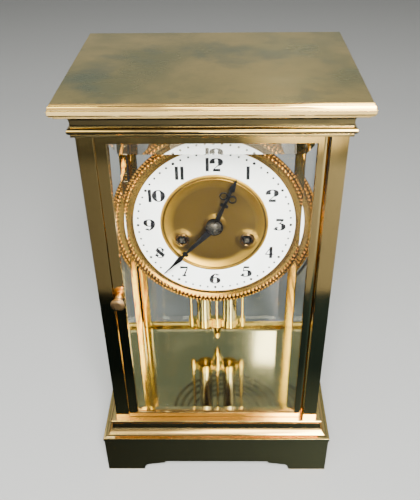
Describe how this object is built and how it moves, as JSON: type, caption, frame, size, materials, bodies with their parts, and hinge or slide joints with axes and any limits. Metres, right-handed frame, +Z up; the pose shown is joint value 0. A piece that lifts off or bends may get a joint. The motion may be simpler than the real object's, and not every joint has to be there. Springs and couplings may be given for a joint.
{
  "type": "crystal regulator clock",
  "caption": "Four-glass brass table clock with hinged bevelled doors, enamel chapter ring, striking movement, coiled gong and twin-jar compensating pendulum.",
  "frame": {"origin": "on the table, under the middle of the case", "axes": "+X to the viewer's right, the dial faces -Y, +Z up"},
  "size_m": [0.158, 0.1236, 0.27],
  "materials": {
    "case_brass": "polished, lightly tarnished",
    "floor_brass": "mirror polish",
    "top_brass": "polished, patchy tarnish",
    "plate_glass": "clear, bevelled",
    "bright_steel": "satin",
    "copper_knob": "worn copper-brown",
    "movement_brass": "grained, lacquered",
    "gilt_brass": "gilt, bright",
    "dial_enamel": "glossy white enamel",
    "blued_steel": "dark blued",
    "gong_steel": "dark tempered",
    "pendulum_brass": "polished",
    "jar_steel": "polished"
  },
  "bodies": {
    "case": {"base_plinth": "case_brass", "floor_plate": "floor_brass", "post_front_left": "case_brass", "post_front_right": "case_brass", "post_back_left": "case_brass", "post_back_right": "case_brass", "cornice_frieze": "case_brass", "cornice_slab": "top_brass", "side_frames": "case_brass", "side_glasses": "plate_glass", "hinge_pins": "bright_steel", "case_screws": "bright_steel", "movement_brackets": "movement_brass", "dial_plate": "movement_brass", "bezel": "gilt_brass", "enamel_ring": "dial_enamel", "dial_centre": "gilt_brass", "winding_collets": "gilt_brass", "front_plate": "movement_brass", "back_plate": "movement_brass", "plate_pillars": "movement_brass", "back_cock": "movement_brass", "gong_coil": "gong_steel", "gong_block": "movement_brass"},
    "front_door": {"front_door_frame": "case_brass", "front_door_glass": "plate_glass", "front_door_knob": "copper_knob"},
    "back_door": {"back_door_frame": "case_brass", "back_door_glass": "plate_glass", "back_door_knob": "copper_knob"},
    "minute_arbor": {"centre_wheel": "movement_brass", "cannon_pinion": "bright_steel", "minute_hand": "blued_steel", "hand_cap": "blued_steel"},
    "motion_wheel": {"minute_wheel": "movement_brass"},
    "hour_pipe": {"hour_wheel": "movement_brass", "hour_hand": "blued_steel"},
    "second_arbor": {"second_wheel": "movement_brass"},
    "going_drum": {"going_barrel": "movement_brass", "going_mainspring": "bright_steel"},
    "third_arbor": {"third_wheel": "movement_brass"},
    "escape_arbor": {"escape_wheel": "movement_brass"},
    "pin_arbor": {"strike_pin_wheel": "movement_brass"},
    "strike_second_arbor": {"strike_second_wheel": "movement_brass"},
    "strike_drum": {"strike_barrel": "movement_brass", "strike_mainspring": "bright_steel"},
    "warning_arbor": {"strike_warning_wheel": "movement_brass"},
    "fly_arbor": {"strike_fly": "movement_brass"},
    "going_winder": {"going_winding_arbor": "bright_steel"},
    "strike_winder": {"strike_winding_arbor": "bright_steel"},
    "going_pawl": {"going_click": "bright_steel"},
    "strike_pawl": {"strike_click": "bright_steel"},
    "hammer_arbor": {"hammer": "movement_brass"},
    "pallet_arbor": {"anchor": "bright_steel", "crutch": "movement_brass"},
    "pendulum": {"suspension_spring": "bright_steel", "pendulum_rod": "pendulum_brass", "bob_frame": "pendulum_brass", "bob_jars": "jar_steel"},
    "regulator_nut": {"rating_nut": "pendulum_brass"}
  },
  "joints": [
    {"name": "front_door_swing", "type": "hinge", "parent": "case", "child": "front_door", "pos_m": [0.057, -0.0484, 0.15], "axis": [0, 0, 1], "range_deg": [0, 90]},
    {"name": "back_door_swing", "type": "hinge", "parent": "case", "child": "back_door", "pos_m": [-0.057, 0.0484, 0.15], "axis": [0, 0, 1], "range_deg": [0, 90]},
    {"name": "minute_turn", "type": "hinge", "parent": "case", "child": "minute_arbor", "pos_m": [0, 0, 0.182], "axis": [0, 1, 0], "continuous": true},
    {"name": "motion_wheel_turn", "type": "hinge", "parent": "case", "child": "motion_wheel", "pos_m": [0, -0.013, 0.17], "axis": [0, 1, 0], "continuous": true},
    {"name": "hour_turn", "type": "hinge", "parent": "case", "child": "hour_pipe", "pos_m": [0, -0.017, 0.182], "axis": [0, 1, 0], "continuous": true},
    {"name": "second_wheel_turn", "type": "hinge", "parent": "case", "child": "second_arbor", "pos_m": [0.01737, 0, 0.1903], "axis": [0, 1, 0], "continuous": true},
    {"name": "going_barrel_turn", "type": "hinge", "parent": "case", "child": "going_drum", "pos_m": [0.0198, 0, 0.1712], "axis": [0, 1, 0], "continuous": true},
    {"name": "third_wheel_turn", "type": "hinge", "parent": "case", "child": "third_arbor", "pos_m": [0, 0, 0.2002], "axis": [0, 1, 0], "continuous": true},
    {"name": "escape_wheel_turn", "type": "hinge", "parent": "case", "child": "escape_arbor", "pos_m": [0, 0, 0.21496], "axis": [0, 1, 0], "continuous": true},
    {"name": "strike_pin_wheel_turn", "type": "hinge", "parent": "case", "child": "pin_arbor", "pos_m": [-0.01874, 0, 0.20599], "axis": [0, 1, 0], "continuous": true},
    {"name": "strike_second_wheel_turn", "type": "hinge", "parent": "case", "child": "strike_second_arbor", "pos_m": [-0.01737, 0, 0.1903], "axis": [0, 1, 0], "continuous": true},
    {"name": "strike_barrel_turn", "type": "hinge", "parent": "case", "child": "strike_drum", "pos_m": [-0.0198, 0, 0.1712], "axis": [0, 1, 0], "continuous": true},
    {"name": "strike_warning_wheel_turn", "type": "hinge", "parent": "case", "child": "warning_arbor", "pos_m": [-0.01244, 0, 0.2169], "axis": [0, 1, 0], "continuous": true},
    {"name": "strike_fly_turn", "type": "hinge", "parent": "case", "child": "fly_arbor", "pos_m": [-0.02157, 0, 0.21934], "axis": [0, 1, 0], "continuous": true},
    {"name": "going_winding", "type": "hinge", "parent": "case", "child": "going_winder", "pos_m": [0.0198, 0, 0.1712], "axis": [0, 1, 0], "range_deg": [0, 1800]},
    {"name": "strike_winding", "type": "hinge", "parent": "case", "child": "strike_winder", "pos_m": [-0.0198, 0, 0.1712], "axis": [0, -1, 0], "range_deg": [0, 1800]},
    {"name": "going_click_lift", "type": "hinge", "parent": "case", "child": "going_pawl", "pos_m": [0.0258, -0.013, 0.16081], "axis": [0, -1, 0], "range_deg": [0, 12], "stiffness_Nm_per_rad": 0.004},
    {"name": "strike_click_lift", "type": "hinge", "parent": "case", "child": "strike_pawl", "pos_m": [-0.0258, -0.013, 0.16081], "axis": [0, 1, 0], "range_deg": [0, 12], "stiffness_Nm_per_rad": 0.004},
    {"name": "hammer_lift", "type": "hinge", "parent": "case", "child": "hammer_arbor", "pos_m": [-0.038, 0, 0.182], "axis": [0, 1, 0], "range_deg": [0, 8]},
    {"name": "pendulum_swing", "type": "hinge", "parent": "case", "child": "pendulum", "pos_m": [0, 0.0258, 0.22413], "axis": [0, 1, 0], "range_deg": [-2.5, 2.5]},
    {"name": "pallet_rock", "type": "hinge", "parent": "case", "child": "pallet_arbor", "pos_m": [0, 0, 0.22413], "axis": [0, 1, 0], "range_deg": [-2.5, 2.5]},
    {"name": "rating_nut_turn", "type": "hinge", "parent": "pendulum", "child": "regulator_nut", "pos_m": [0, 0.0258, 0.06], "axis": [0, 0, 1], "continuous": true}
  ],
  "couplings": [
    {"joint": "motion_wheel_turn", "follows": "minute_turn", "ratio": -0.33333},
    {"joint": "hour_turn", "follows": "minute_turn", "ratio": 0.083333},
    {"joint": "second_wheel_turn", "follows": "minute_turn", "ratio": -0.16667},
    {"joint": "going_barrel_turn", "follows": "minute_turn", "ratio": 0.027778},
    {"joint": "third_wheel_turn", "follows": "minute_turn", "ratio": -12},
    {"joint": "escape_wheel_turn", "follows": "minute_turn", "ratio": 128.57},
    {"joint": "strike_second_wheel_turn", "follows": "strike_pin_wheel_turn", "ratio": -0.16667},
    {"joint": "strike_barrel_turn", "follows": "strike_pin_wheel_turn", "ratio": 0.027778},
    {"joint": "strike_warning_wheel_turn", "follows": "strike_pin_wheel_turn", "ratio": -8},
    {"joint": "strike_fly_turn", "follows": "strike_pin_wheel_turn", "ratio": 64},
    {"joint": "pallet_rock", "follows": "pendulum_swing", "ratio": 1}
  ]
}
